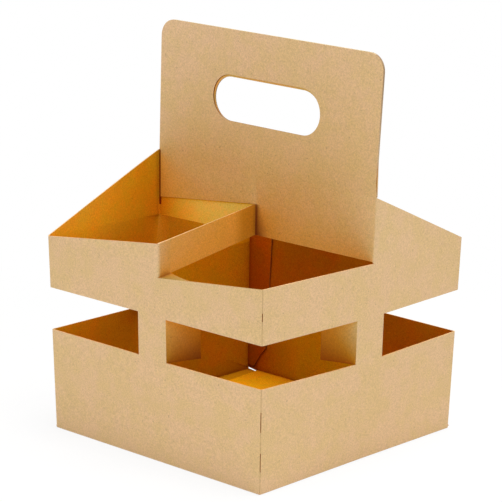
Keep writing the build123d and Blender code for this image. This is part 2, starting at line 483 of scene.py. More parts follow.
# %% [markdown]
# ## Joining the leaves to the walls
#
# The leaves and the walls are one sheet of board, so the three skins become one mesh, and their points
# are merged along the folds at the shoulders. Each skin was trimmed on its own, so the points there may
# lie a tenth of a millimetre apart.

# %% Merge the leaves and the walls
FOLD_MERGE = 0.15


def on_shoulder_fold(x, y, z):
    """Whether a place is on the fold between an end wall and its leaf."""
    at_fold = near(x, FOLD_LEFT, 0.3) or near(x, FOLD_RIGHT, 0.3)
    return at_fold and abs(y) < 1 and z > HANDLE_LOW - 1


select_pieces(front_leaf, rear_leaf, band)
bpy.ops.object.join()
bpy.ops.object.mode_set(mode="EDIT")
print("points on the shoulder folds:", pick("VERT", on_shoulder_fold))
bpy.ops.mesh.remove_doubles(threshold=FOLD_MERGE * MM)

# %% [markdown]
# ## The straps and their webs
#
# Each strap bridges the gap between the root on its side wall and its fold on the leaf. A small web is
# left between the strap and the wall's rim, and keeps the root from tearing. A bridge between two edges
# is the strap, and one face between three points is the web. The strap is scored where it gets darker.

# %% Bridge the straps and fill their webs
WEB_ALONG_STRAP, WEB_ALONG_WALL = 12.0, 27.0
# The strap's painted shade darkens it towards the leaf between these two distances from it.
STRAP_SHADE = (24.0, 14.0)
STRAP_ZONE = 9.0


def on_strap(side, x, y, z):
    """Whether a place is on a strap, clear of its wall and of the leaves."""
    return abs(x) < STRAP_ZONE and 3 < abs(y) < 80 and y * side < 0 and z > ROOT_LOW


for side, fold in ((1, FRONT_FOLD), (-1, REAR_FOLD)):
    root = side * STRAP_ROOT
    web_end = -side * (half(ROOT_LOW) - WEB_ALONG_STRAP)
    wall_end = root + side * WEB_ALONG_WALL

    def on_root(x, y, z):
        return near(x, root) and on_side_wall(side, y) and within(z, ROOT_LOW, ROOT_HIGH)

    def on_leaf(x, y, z):
        return near(x, fold) and near(y, -side * BOARD) and within(z, STRAP_END_LOW, STRAP_END_HIGH)

    def at_web_corner(x, y, z):
        on_strap_edge = near(y, web_end) and z < 140 and abs(x) < STRAP_ZONE
        on_wall_top = near(x, wall_end) and on_side_wall(side, y) and z > ROOT_LOW
        return on_strap_edge or on_wall_top or near(x, root) and on_side_wall(side, y) and near(z, ROOT_LOW)

    pick("EDGE", lambda x, y, z: on_root(x, y, z) or on_leaf(x, y, z))
    bpy.ops.mesh.bridge_edge_loops()
    score(lambda x, y, z: on_strap(side, x, y, z), "y", web_end, *(-side * at for at in STRAP_SHADE))
    score(lambda x, y, z: on_side_wall(side, y) and (x - root) * side > 0 and z > LINTEL, "x", wall_end)
    print("web corners", pick("VERT", at_web_corner))
    bpy.ops.mesh.edge_face_add()
end(band)

# %% [markdown]
# ## Tabs beside the windows
#
# Where a window is cut, a tab stays hinged on the post and is folded in. It stops the cups from knocking
# together and stiffens the post. Each tab is pushed out of the post's own edge, so it stays one sheet.

# %% Fold in the tabs
TAB_LENGTH = 25.0
TAB_FOLD = radians(64)
TAB_CLEARANCE = 0.4
# Each tab by the axis that its wall faces along, that wall's side, and the side of the post it hangs on.
TABS = [("y", -1, 1), ("y", -1, -1), ("y", 1, 1), ("x", 1, -1), ("x", 1, 1), ("x", -1, -1)]

bpy.ops.object.mode_set(mode="EDIT")
squeeze = 1 - 2 * TAB_CLEARANCE / (LINTEL - SILL)
for axis, wall_side, post_side in TABS:

    def on_hinge(x, y, z):
        outward, along = (x, y) if axis == "x" else (y, x)
        at_post = near(along, post_side * POST_HALF)
        return outward * wall_side > WALL_ZONE and at_post and within(z, SILL, LINTEL)

    print("tab hinge edges:", pick("EDGE", on_hinge))
    inward, along = -wall_side * TAB_LENGTH * sin(TAB_FOLD), post_side * TAB_LENGTH * cos(TAB_FOLD)
    push_out(*((inward, along) if axis == "x" else (along, inward)))
    bpy.ops.transform.resize(value=(1, 1, squeeze), center_override=(0, 0, (SILL + LINTEL) / 2 * MM))
end(band)

# %% [markdown]
# ## The bottom
#
# Four flaps close the bottom. The closing flap folds in from the front wall and lies lowest. The end
# walls' flaps lie on it, and the rear wall's main flap lies on top. Each is pushed out of a wall's lower
# edge, and the upper ones step up by one or two boards first. At the rear left foot the wall's edge is
# relieved, so that the flaps can fold past each other, and a little light comes in there.

# %% Fold in the bottom
CLOSING_DEPTH, CLOSING_TAPER = 118.0, 22.0
SIDE_DEPTH, SIDE_TAPER = 78.0, 34.0
MAIN_DEPTH, MAIN_TAPER = 128.0, 12.0
RELIEF_WIDTH, RELIEF_HEIGHT = 12.3, 2.4

bpy.ops.object.mode_set(mode="EDIT")
corner = half(0)
relief_end = -corner + RELIEF_WIDTH
score(lambda x, y, z: y > WALL_ZONE and z < FOOT_SLICE, "x", relief_end)
score(lambda x, y, z: y > WALL_ZONE and z < FOOT_SLICE, "z", RELIEF_HEIGHT)
cut_out(lambda x, y, z: y > WALL_ZONE and z < RELIEF_HEIGHT and x < relief_end)


def fold_in(on_edge, way, layer, depth, taper):
    """Push a flap out of a wall's lower edge. A flap on an upper layer first steps up and in."""
    pick("EDGE", lambda x, y, z: near(z, 0) and on_edge(x, y))
    if layer:
        push_out(way[0] * BOARD, way[1] * BOARD, layer * BOARD)
        depth -= BOARD
    push_out(way[0] * depth, way[1] * depth)
    narrow = 1 - taper / corner
    bpy.ops.transform.resize(value=(narrow, 1, 1) if way[1] else (1, narrow, 1), center_override=(0, 0, 0))


fold_in(lambda x, y: near(y, -corner), (0, 1), 0, CLOSING_DEPTH, CLOSING_TAPER)
fold_in(lambda x, y: near(x, -corner, 0.3), (1, 0), 1, SIDE_DEPTH, SIDE_TAPER)
fold_in(lambda x, y: near(x, corner, 0.3), (-1, 0), 1, SIDE_DEPTH, SIDE_TAPER)
fold_in(lambda x, y: near(y, corner), (0, -1), 2, MAIN_DEPTH, MAIN_TAPER)
print("faces with the four flaps:", pick("FACE", everywhere))

# %% [markdown]
# ## The notch and the tongue
#
# The light gap at the rear left foot is a thin wedge in the photograph, so three points round the
# relief are moved to give it that shape. The closing flap ends in a tongue with round corners, which
# keeps it under the main flap. It is pushed out of the middle of the flap's own edge.

# %% Shape the notch and add the tongue
TONGUE_WIDTH, TONGUE_DEPTH, TONGUE_RADIUS, TONGUE_STEPS = 96.0, 30.0, 10.0, 6
NOTCH_FLAP_OUT, NOTCH_DROP, NOTCH_RISE = 3.6, 0.7, 0.8

notch_slice = relief_end + 1
score(lambda x, y, z: near(z, BOARD) and x < -corner / 2, "x", notch_slice)
pick("VERT", lambda x, y, z: near(z, BOARD) and near(x, notch_slice) and y > 80)
move(y=NOTCH_FLAP_OUT)
pick("VERT", lambda x, y, z: near(z, RELIEF_HEIGHT) and near(y, half(z)) and near(x, relief_end))
move(z=-NOTCH_DROP)
pick("VERT", lambda x, y, z: near(z, RELIEF_HEIGHT) and near(y, half(z)) and near(x, -half(z)))
move(z=NOTCH_RISE)

flap_end = -corner + CLOSING_DEPTH
score(lambda x, y, z: near(z, 0), "x", -TONGUE_WIDTH / 2, TONGUE_WIDTH / 2)
pick("EDGE", lambda x, y, z: near(z, 0) and near(y, flap_end) and within(abs(x), 0, TONGUE_WIDTH / 2))
push_out(y=TONGUE_DEPTH)
tongue_end = flap_end + TONGUE_DEPTH
pick("VERT", lambda x, y, z: near(z, 0) and near(y, tongue_end) and near(abs(x), TONGUE_WIDTH / 2))
round_off("VERTICES", TONGUE_RADIUS, TONGUE_STEPS)
end(band)

# %% [markdown]
# ## The glued joint
#
# The blank's last edge carries a flap that is glued inside the rear wall, at the corner with no window.
# It is a sheet of its own in this model, standing just inside the wall, with cut-off corners. Its free
# edge springs off the wall by half a millimetre, as a flap does that was glued only near its hinge.

# %% Make the glue flap
FLAP_FREE, FLAP_LEAN = 20.8, 0.032
FLAP_SPRING, FLAP_STUCK = 0.5, 3.0
FLAP_FOOT = 5.5
FLAP_CHAMFER, FLAP_CHAMFER_RISE = 13.5, 16.5
FLAP_SHEET = 200.0


def hinge_at(z):
    """Where the flap's hinge is along X, at a height."""
    return -half(z) + BOARD / 2


def free_at(z):
    """Where the flap's free edge is along X, at a height."""
    return FLAP_FREE + FLAP_LEAN * z - half(0)


flap = new_sheet("glue_flap", FLAP_SHEET, (-FLAP_SHEET / 2, 0, FLAP_SHEET / 2), -pi / 2)
low, high = FLAP_FOOT, RIM - FLAP_FOOT
low_chamfer, high_chamfer = low + FLAP_CHAMFER_RISE, high - FLAP_CHAMFER_RISE
for start, stop in (
    ((0, 0, low), (10, 0, low)),
    ((0, 0, high), (10, 0, high)),
    ((hinge_at(low), 0, low), (hinge_at(high), 0, high)),
    ((free_at(low), 0, low), (free_at(high), 0, high)),
    ((free_at(low) - FLAP_CHAMFER, 0, low), (free_at(low_chamfer), 0, low_chamfer)),
    ((free_at(high) - FLAP_CHAMFER, 0, high), (free_at(high_chamfer), 0, high_chamfer)),
):
    trim(everywhere, start, stop, (0, 1, 0), keep=(-90, 0, 70))
for level in sorted({round(v.co.z / MM, 2) for v in bmesh.from_edit_mesh(flap.data).verts}):
    pick("VERT", lambda x, y, z: near(z, level))
    move(y=half(level) - BOARD)
pick("VERT", lambda x, y, z: x > hinge_at(z) + FLAP_STUCK)
move(y=-FLAP_SPRING)
end(flap)
select_pieces(flap, band)
bpy.ops.object.join()

# %% [markdown]
# ## The corner folds, and the cuts in them
#
# Board is creased before it is folded, so a fold is a tight bend and not a sharp edge. The corner folds
# are also cut right through in short dashes, which show as thin dark lines on the near corner. Each
# corner is bevelled with three faces, and the middle face is left out wherever a dash is cut. The rear
# wall and the floor are scored too, though nothing folds there: their painted light and shade changes along
# those lines.

# %% Round the corner folds and cut the dashes
BEND, BEND_STEPS = 1.2, 3
DASHES = [(15.9, 29.1), (43.7, 57.7), (120.2, 125.9)]
REAR_SLICE = -45.0
FLOOR_SLICES = (20.0, 60.0)


def on_floor(x, y, z):
    """Whether a place is on the flaps of the bottom."""
    return z < 4 and max(abs(x), abs(y)) < 98


def on_walls(x, y, z):
    """Whether a place is on any wall, above the bottom."""
    return max(abs(x), abs(y)) > WALL_ZONE and z > 1


def on_corner(x, y, z):
    """Whether a place is on one of the four corner folds."""
    return near(abs(x), half(z)) and near(abs(y), half(z)) and z > -0.1


def in_dash(face):
    """Whether a face is the middle one of a corner's bend where a dash is cut."""
    x, y, z = face.calc_center_median() / MM
    slanting = near(abs(face.normal.x), 0.707, 0.1) and near(abs(face.normal.y), 0.707, 0.1)
    at_corner = abs(x) > half(z) - BEND and abs(y) > half(z) - BEND
    return slanting and at_corner and any(a < z < b for a, b in DASHES) and not x < 0 < y


bpy.ops.object.mode_set(mode="EDIT")
score(lambda x, y, z: y > WALL_ZONE and z > 1, "x", REAR_SLICE)
score(on_floor, "x", *(-at for at in FLOOR_SLICES))
score(on_floor, "y", *FLOOR_SLICES)
score(on_walls, "z", *(at for dash in DASHES for at in dash))
print("corner edges:", pick("EDGE", on_corner))
round_off("EDGES", BEND, BEND_STEPS)
print("dashes cut through:", pick_parts("FACE", in_dash))
bpy.ops.mesh.delete(type="FACE")

# %% [markdown]
# ## The handle's folds
#
# The folds at the shoulders and at the straps' ends are rounded in the same way. First the leaves get
# the lines where their painted light and shade changes: on the strip of the rear leaf that shows below the
# front one, and along the painted shadow wedge beside the strap. One more line lets the fold's bulge run out
# into the straight edge.

# %% Round the handle's folds
GAP_LOW = 150.0
BAND_MIDDLE = -58.0
SHADE_TOP, SHADE_FOOT = 4.0, 12.0
BULGE_END = 198.0
ROOT_BEND, ROOT_BEND_STEPS = 2.2, 4
# Each fold by its X, its Y, its lowest and highest point, and the size of its bend.
HANDLE_FOLDS = [
    (FOLD_RIGHT, -BOARD, HANDLE_LOW, SHOULDER_RIGHT, 1.0),
    (FOLD_LEFT, BOARD, HANDLE_LOW, SHOULDER_LEFT, 1.4),
    (FRONT_FOLD, -BOARD, STRAP_END_LOW, STRAP_END_HIGH, 0.8),
    (REAR_FOLD, BOARD, STRAP_END_LOW, STRAP_END_HIGH, 0.8),
]


def on_rear_leaf_left(x, y, z):
    """Whether a place is on the left half of the rear leaf, below the shoulders."""
    return near(y, BOARD) and x < 0 and z < shoulder(x)


score(on_rear_leaf_left, "x", LEAF_LEFT)
score(on_rear_leaf_left, "z", GAP_LOW)
score(on_rear_leaf_left, "x", BAND_MIDDLE)
wedge_top = (FRONT_FOLD + SHADE_TOP, 0, STRAP_END_HIGH)
wedge_foot = (FRONT_FOLD + SHADE_FOOT, 0, STRAP_END_LOW)
score_line(lambda x, y, z: near(y, -BOARD) and x > FRONT_FOLD and z < STRAP_END_HIGH,
           wedge_top, wedge_foot, (0, 1, 0))
score(lambda x, y, z: near(y, -BOARD) and x > 60 and z > shoulder(x), "z", BULGE_END)
for fold_x, fold_y, low, high, bend in HANDLE_FOLDS:
    found = pick("EDGE", lambda x, y, z: near(x, fold_x) and near(y, fold_y) and within(z, low, high))
    print("fold edges:", found)
    round_off("EDGES", bend, BEND_STEPS)
for side in (1, -1):
    pick("EDGE", lambda x, y, z: near(x, side * STRAP_ROOT) and on_side_wall(side, y) and z > ROOT_LOW - 0.1)
    round_off("EDGES", ROOT_BEND, ROOT_BEND_STEPS)
heal()
bpy.ops.mesh.normals_make_consistent(inside=False)
end(band)

# %% [markdown]
# ## How the folded board settles
#
# So far the carton is as true as its drawing. A real one is folded and glued by hand, so its corners
# and hinges stand a millimetre or two from their places. Each small move takes one group of points,
# found by the box that they lie in, and its distance was matched to the edges in the photograph.

# %% Settle the hinges and sills
IN_WINDOWS = (SILL - 0.2, LINTEL + 0.2)


def around(value, reach=0.06):
    """The span that lies within reach of a value."""
    return (value - reach, value + reach)


AT_RIGHT_FOLD, ON_FRONT_LEAF = around(FOLD_RIGHT, 1.5), around(-BOARD, 1.6)
# Each group by its name, its spans along X, Y and Z, and its move.
SETTLED = [
    ("left hinge of the front post", (-26.5, -14), (-1000, -75), IN_WINDOWS, (1.65, 0, 0)),
    ("right hinge of the front post", (14, 26.5), (-1000, -75), IN_WINDOWS, (-0.75, 0, 0)),
    ("near hinge of the right post", (75, 1000), (-26.5, -14), IN_WINDOWS, (0, 2.0, 0)),
    ("far hinge of the right post", (75, 1000), (14, 26.5), IN_WINDOWS, (0, 0.5, 0)),
    ("right sill, near half", (95, 1000), (-80, -40), around(SILL), (0, 0, -0.35)),
    ("right sill, far half", (95, 1000), (-40, 1000), around(SILL), (0, 0, -0.75)),
    ("front lintel, left half", (-1000, -10), (-1000, -95), around(LINTEL), (0, 0, 0.85)),
    ("front sill by its post", (5, 20), (-1000, -95), around(SILL), (0, 0, -0.6)),
    ("fold of the front leaf", AT_RIGHT_FOLD, ON_FRONT_LEAF, (164, 190), (1.2, 0, 0)),
    ("foot of the front leaf", AT_RIGHT_FOLD, ON_FRONT_LEAF, around(HANDLE_LOW, 0.2), (0, 0, 1.1)),
]

bpy.ops.object.mode_set(mode="EDIT")
for name, *spans, (dx, dy, dz) in SETTLED:
    found = pick("VERT", lambda *place: all(low < at < high for at, (low, high) in zip(place, spans)))
    print(name, found, "points")
    move(x=dx, y=dy, z=dz)

# %% [markdown]
# ## The pushed corners
#
# Three corners stand in or out along X: the glued one is pushed in, the rear right one stands out, and
# so does the foot of the front left one. A wall follows its corner and keeps its middle, so a point moves
# by its share of the way to the corner. Proportional editing would do it by hand, and one line of sums
# is surer.

# %% Push the corners
# Each corner by its side along X and along Y: its move at the foot, and what each millimetre up adds.
CORNER_PUSH = {(-1, -1): (-0.8, 0.006), (1, 1): (1.25, 0), (-1, 1): (2.0, 0.0085)}

mesh = bmesh.from_edit_mesh(band.data)
for (side_x, side_y), (foot, rise) in CORNER_PUSH.items():
    for point in mesh.verts:
        x, y, z = point.co / MM
        if x * side_x > WALL_ZONE and y * side_y > 0:
            point.co.x += (foot + rise * min(z, RIM)) * min(1, abs(y) / half(z)) * MM
bmesh.update_edit_mesh(band.data)
print("corners pushed along X:", len(CORNER_PUSH))
end(band)

# %% [markdown]
# ## Two helpers for materials
#
# Blender mixes colours as linear light, and a colour that is read off a screen is sRGB, so one function
# turns a hex code to linear numbers. Another adds a shader node, with its settings and its links.

# %% Make the helpers for materials
def colour(code):
    """A hex colour as it is seen, turned to the linear numbers that Blender mixes."""
    parts = [int(code[i:i + 2], 16) / 255 for i in (1, 3, 5)]
    return [p / 12.92 if p <= 0.04045 else ((p + 0.055) / 1.055) ** 2.4 for p in parts] + [1.0]


def add(tree, kind, settings=None, **sockets):
    """Add a node with its settings, and fill its sockets, by name or as i and a number."""
    node = tree.nodes.new(kind)
    for name, value in (settings or {}).items():
        setattr(node, name, value)
    for name, value in sockets.items():
        by_number = name[0] == "i" and name[1:].isdigit()
        socket = node.inputs[int(name[1:])] if by_number else node.inputs[name.replace("_", " ")]
        if isinstance(value, bpy.types.NodeSocket):
            tree.links.new(value, socket)
        else:
            socket.default_value = value
    return node


print("kraft brown in linear numbers:", [round(v, 3) for v in colour("#D7B688")[:3]])

# %% [markdown]
# ## Kraft board
#
# The real board is unbleached kraft: brown wood fibres, pressed and dried in sheets, neither coated nor
# printed. It is matt, with a fine mottle of lighter and darker fibres, a few dark flecks, and a slight
# tooth. The colour drifts a little between pink and yellow over a couple of centimetres. Down in the
# tray the board is lit by light bounced off itself, and that light and the shade in the folds are painted
# into the colour: ambient occlusion measures how shut in a place is by the carrier itself, and from it the
# base colour runs to a deep orange as painted bounce light and shade, and folds get a thin painted shade
# line.

# %% Make the kraft finish
# Sizes in millimetres. A wood fibre is 1 to 3 mm long but only 0.03 mm wide, which is too fine to show,
# so the fibre pattern is drawn in cells of 1.1 mm. The flecks, of 2.4 mm cells, show only at their
# peaks, as specks of half a millimetre. The tooth is several times the real one, so that it shows.
FIBRE_SIZE, FLECK_SIZE, DRIFT_SIZE = 1.111, 2.381, 22.22
TOOTH_DEPTH = 0.1
# How far a place looks for board round it: across the tray for its painted shade and bounce light, and across
# a fold for its painted shade line.
TRAY_REACH, FOLD_REACH = 300.0, 6.0
AO_SAMPLES = 8
WHITE = (1, 1, 1, 1)


def cells(size):
    """How many cells of a size in millimetres fit in a metre, which is a noise texture's scale."""
    return round(1 / (size * MM))


def kraft(name, tones, roughness, gloss, fold_shade_colour, warm, cool):
    """Kraft board, matt and finely mottled, with painted shade and bounce light: its colour runs from deep
    inside the tray to open faces, and folds get a painted shade line.
    """
    material = bpy.data.materials.new(name)
    material.use_nodes = True
    tree = material.node_tree
    shader = tree.nodes["Principled BSDF"]
    place = add(tree, "ShaderNodeTexCoord").outputs["Object"]
    ambient = {"only_local": True, "samples": AO_SAMPLES}
    colours, times = {"data_type": "RGBA"}, {"operation": "MULTIPLY"}

    # Painted shade and bounce light: ambient occlusion picks the base colour from the ramp, deep orange where
    # the board is shut in.
    shade = add(tree, "ShaderNodeAmbientOcclusion", ambient, Distance=TRAY_REACH * MM)
    tone = add(tree, "ShaderNodeValToRGB", Fac=shade.outputs["AO"])
    for position, _ in tones[1:-1]:
        tone.color_ramp.elements.new(position)
    for stop, (position, code) in zip(tone.color_ramp.elements, tones):
        stop.position = position
        stop.color = colour(code)

    # Painted shade along folds: a short-reach ambient occlusion darkens the colour in creases.
    fold = add(tree, "ShaderNodeAmbientOcclusion", ambient, Distance=FOLD_REACH * MM)
    fold = add(tree, "ShaderNodeMapRange", Value=fold.outputs["AO"], From_Min=0.25, From_Max=0.85)
    fold = add(tree, "ShaderNodeMix", colours, i0=fold.outputs[0], i6=colour(fold_shade_colour), i7=WHITE)

    drift = add(tree, "ShaderNodeTexNoise", Vector=place, Scale=cells(DRIFT_SIZE), Detail=4.0, Roughness=0.72)
    drift = add(tree, "ShaderNodeMapRange", Value=drift.outputs["Fac"], From_Min=0.4, From_Max=0.6)
    drift = add(tree, "ShaderNodeMix", colours, i0=drift.outputs[0], i6=(*warm, 1), i7=(*cool, 1))

    fibre = add(tree, "ShaderNodeTexNoise", Vector=place, Scale=cells(FIBRE_SIZE), Detail=3.0, Roughness=0.7)
    fibre = add(tree, "ShaderNodeMapRange", Value=fibre.outputs["Fac"],
                From_Min=0.3, From_Max=0.7, To_Min=0.84, To_Max=1.16)
    fleck = add(tree, "ShaderNodeTexNoise", Vector=place, Scale=cells(FLECK_SIZE), Detail=1.0)
    fleck = add(tree, "ShaderNodeMapRange", Value=fleck.outputs["Fac"],
                From_Min=0.72, From_Max=0.78, To_Min=1.0, To_Max=0.78)
    grain = add(tree, "ShaderNodeMath", times, i0=fibre.outputs[0], i1=fleck.outputs[0])

    # Painted light and shade written on the mesh multiplies the colour as well.
    painted_light = add(tree, "ShaderNodeAttribute", {"attribute_name": "painted_light_and_shade"})
    body = tone.outputs["Color"]
    for factor in (drift.outputs[2], fold.outputs[2], painted_light.outputs["Color"]):
        body = add(tree, "ShaderNodeVectorMath", times, i0=body, i1=factor).outputs["Vector"]
    body = add(tree, "ShaderNodeVectorMath", {"operation": "SCALE"}, i0=body, Scale=grain.outputs[0])
    tree.links.new(body.outputs["Vector"], shader.inputs["Base Color"])
    tooth = add(tree, "ShaderNodeBump", Strength=0.25, Distance=TOOTH_DEPTH * MM, Height=fibre.outputs[0])
    tree.links.new(tooth.outputs["Normal"], shader.inputs["Normal"])
    shader.inputs["Roughness"].default_value = roughness
    shader.inputs["Specular IOR Level"].default_value = gloss
    print("finish:", material.name)
    return material


# %% [markdown]
# ## Three finishes of one board
#
# The outer face was calendered, which is pressed between smooth rolls. It has a faint sheen and the
# palest brown. The inner face is the side that was formed on the wire, so it is duller and rougher, and
# it is warmer, partly in its own colour and partly from painted bounce light off its own board. The cut
# edge was sheared by the die and shows the loose, lighter fibres of the middle. Each gets its own ramp
# of colours with painted shade and bounce light, from a place that is all but shut in, at 0.1, to one in
# the open, at 1.0, where the ramp is the board's own colour.

# %% Make the three finishes
# Each ramp is the board's own colour in the open, at 1.0, and painted shade and bounce light below that.
OUTER_COLOUR_AND_SHADE = [(0.1, "#B06A14"), (0.4, "#E09E34"), (0.65, "#CE954A"), (0.82, "#CAA872"), (1.0, "#D7B688")]
INNER_COLOUR_AND_SHADE = [(0.1, "#A45A04"), (0.2, "#D08408"), (0.4, "#DC9614"), (0.6, "#E4AC50"), (1.0, "#D4AC74")]
CUT_COLOUR_AND_SHADE = [(0.1, "#8A5418"), (0.35, "#B87C30"), (0.65, "#D8A058"), (0.85, "#DDB47A"), (1.0, "#E0BC8A")]
# Painted shade along folds, on the outer face and cut edge, and on the inner face.
PAINTED_FOLD_SHADE, INNER_PAINTED_FOLD_SHADE = "#B4884E", "#C8A078"
OUTER_DRIFT = {"warm": (1.02, 1.0, 1.06), "cool": (0.978, 0.99, 0.92)}
INNER_DRIFT = {"warm": (1.07, 0.96, 0.9), "cool": (0.95, 1.05, 1.0)}

# Calendered: an even face, whose soft sheen comes from a roughness of 0.85.
outer_kraft = kraft("kraft_board_calendered", OUTER_COLOUR_AND_SHADE, 0.85, 0.2, PAINTED_FOLD_SHADE, **OUTER_DRIFT)
# Formed on the wire: a dull face with next to no sheen.
inner_kraft = kraft("kraft_board_wire_formed", INNER_COLOUR_AND_SHADE, 0.88, 0.06, INNER_PAINTED_FOLD_SHADE, **INNER_DRIFT)
# Sheared by the die: a fibrous edge that scatters light most.
cut_kraft = kraft("kraft_board_die_cut", CUT_COLOUR_AND_SHADE, 0.9, 0.2, PAINTED_FOLD_SHADE, **OUTER_DRIFT)

# %% [markdown]
# ## Thickness
#
# The skin is the board's outer face. Solidify gives it the board's 0.8 mm inwards, and puts the inner
# face and the cut edges in material slots of their own.

# %% Give the board its thickness
INNER_FACE, CUT_EDGE = 1, 2
SMOOTH_ANGLE = radians(35)

for material in (outer_kraft, inner_kraft, cut_kraft):
    band.data.materials.append(material)
thick = band.modifiers.new("board_thickness", "SOLIDIFY")
thick.thickness = BOARD * MM
thick.offset = -1
thick.use_even_offset = True
thick.material_offset = INNER_FACE
thick.material_offset_rim = CUT_EDGE
bpy.ops.object.modifier_apply(modifier=thick.name)
bpy.ops.object.shade_smooth_by_angle(angle=SMOOTH_ANGLE)
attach(band, "root")
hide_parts("carrier")
print("board:", len(band.data.polygons), "faces")

# %% [markdown]
# ## Painted light and shade on the mesh
#
# Light that reaches the tabs, the strap's end and the tray's inside has already bounced off other kraft
# board, and each bounce takes more blue and green out of it. The ray tracer follows only a few of those
# bounces, so the rest is painted on the mesh as light and shade, along with painted shadows, dark gaps and
# lighter and darker sides: a colour at each corner of each face, which multiplies the board's own. A tone
# is red, green and blue, where 1 leaves the colour as it is. The next cells say, place by place, what
# painted tone a face has at one of its corners. Each rule answers only for its own place,
# which it knows by the face's middle, by the way its normal looks, and by its side of the board.

# %% Make the helpers for the tones
PLAIN = (1.0, 1.0, 1.0)


def between(a, b, share):
    """A tone on the way from a to b."""
    share = min(1, max(0, share))
    return tuple(p + (q - p) * share for p, q in zip(a, b))


print("halfway from plain to black:", between(PLAIN, (0.0, 0.0, 0.0), 0.5))

# %% [markdown]
# ## Painted light and shade on the handle
#
# The handle's two faces are open to the room and nearly plain, with painted light that makes them a
# little lighter and bluer towards the top left. The cut edges get painted shade: the right rim darkens
# as it rises, the top edge is painted darker and cooler, and the hand hole's edge is painted in shadow.
# The rear leaf shows in two places with painted light and shade: the narrow gap beside the front leaf's
# free edge is painted dark, and the strip that the strap was folded out of gets painted light and shade along
# it.

# %% Tone the handle
HANDLE_ZONE = 3.0
# Painted shade on the right rim, darker as it rises, and on the top edge and the hand hole's edge.
RIM_TONES, RIM_SPAN = [(0.85, 0.92, 1.1), (0.44, 0.43, 0.48)], 80.0
TOP_EDGE_SHADE, HOLE_EDGE_SHADE = (0.72, 0.84, 1.0), (0.45, 0.44, 0.5)
HOLE_HIGH = 265.0
# Painted light on the handle's faces, lighter and bluer towards the top left.
HANDLE_TONES = [(1.05, 1.04, 0.99), (1.1, 1.1, 1.21)]
# Painted shade in the gap by the left fold.
GAP_SHADE, GAP_HIGH = (0.35, 0.13, 0.03), 190.0
# Painted light and shade on the rear leaf's strip below the front one.
STRIP_TONES = {"by the fold": (1.1, 0.94, 0.32), "middle": (1.28, 1.48, 1.4), "by the strap": (1.2, 1.6, 2.1)}


def handle_edge_tone(middle, normal, at, surface):
    """Painted shade on the leaves' cut edges: the right rim, the top, and the hand hole."""
    if surface == CUT_EDGE and abs(middle.y) < HANDLE_ZONE and middle.z > SHOULDER_LEFT:
        if middle.x > half(middle.z):
            return between(*RIM_TONES, (at.z - SHOULDER_RIGHT) / RIM_SPAN)
        return TOP_EDGE_SHADE if middle.z > HOLE_HIGH else HOLE_EDGE_SHADE


def gap_tone(middle, normal, at, surface):
    """Painted shade in the gap between the front leaf's free edge and the left fold."""
    in_gap = FOLD_LEFT + 1 < middle.x < LEAF_LEFT + 0.1 and GAP_LOW < middle.z < GAP_HIGH
    if in_gap and abs(middle.y) < HANDLE_ZONE and normal.y < 0.3:
        return GAP_SHADE


def strip_tone(middle, normal, at, surface):
    """Painted light and shade on the strip of the rear leaf that shows where the strap was folded out of the
    front one.
    """
    under_front_leaf = middle.x < FRONT_FOLD and middle.z < STRAP_END_HIGH + 6
    if surface == INNER_FACE and under_front_leaf and abs(middle.y) < 1 and normal.y < -0.5:
        if abs(at.x - BAND_MIDDLE) <= 5:
            return STRIP_TONES["middle"]
        return STRIP_TONES["by the fold" if at.x < BAND_MIDDLE else "by the strap"]


def handle_tone(middle, normal, at, surface):
    """Painted light on the handle's two open faces, lighter and bluer from the lower right to the upper left.
    """
    facing = surface != INNER_FACE and abs(normal.y) > 0.9
    if facing and abs(middle.y) < HANDLE_ZONE and middle.z > HANDLE_LOW:
        up = (at.z - HANDLE_LOW) / (TOP_LEFT[1] - HANDLE_LOW)
        right = (at.x - TOP_LEFT[0]) / (TOP_RIGHT[0] - TOP_LEFT[0])
        return between(*HANDLE_TONES, up - right / 2)


print("handle's tones:", HANDLE_TONES, "rim:", RIM_TONES)

# %% [markdown]
# ## Painted light and shade on the straps and webs
#
# A strap is painted bright where it leaves its wall, and painted into the leaf's shade at its end. Beside
# that end the leaf has the strap's painted shadow, a deep wedge which is wider at its foot. The web lies
# flat in the corner between strap and wall, and its painted shade is darkest at its root.

# %% Tone the straps and webs
# Painted light and shade on the straps: brighter at the root, shaded at the end.
STRAP_TONES, STRAP_SPAN = [(1.1, 1.08, 1.02), (1.05, 1.0, 0.9)], 76.0
STRAP_END_SHADE = (0.84, 0.78, 0.3)
# Painted shadow of the strap on the leaf.
STRAP_SHADOW_ON_LEAF = (0.27, 0.1, 0.0)
# Painted shade on the web.
WEB_ROOT_SHADE, WEB_EDGE_SHADE = (0.4, 0.4, 0.2), (0.62, 0.58, 0.38)
# The web's painted shade reaches its edge tone a little before its long edge.
WEB_FULL = 1.1


def beside_strap_tone(middle, normal, at, surface):
    """The strap's painted shadow: a wedge of the front leaf beside the strap's end."""
    in_wedge = FRONT_FOLD - 0.5 < middle.x < FRONT_FOLD + SHADE_FOOT and middle.z < STRAP_END_HIGH
    if in_wedge and -2 < middle.y < 0 and normal.y < -0.3:
        down = (STRAP_END_HIGH - at.z) / (STRAP_END_HIGH - STRAP_END_LOW)
        width = SHADE_TOP + (SHADE_FOOT - SHADE_TOP) * down
        return between(STRAP_SHADOW_ON_LEAF, PLAIN, (at.x - FRONT_FOLD) / width)


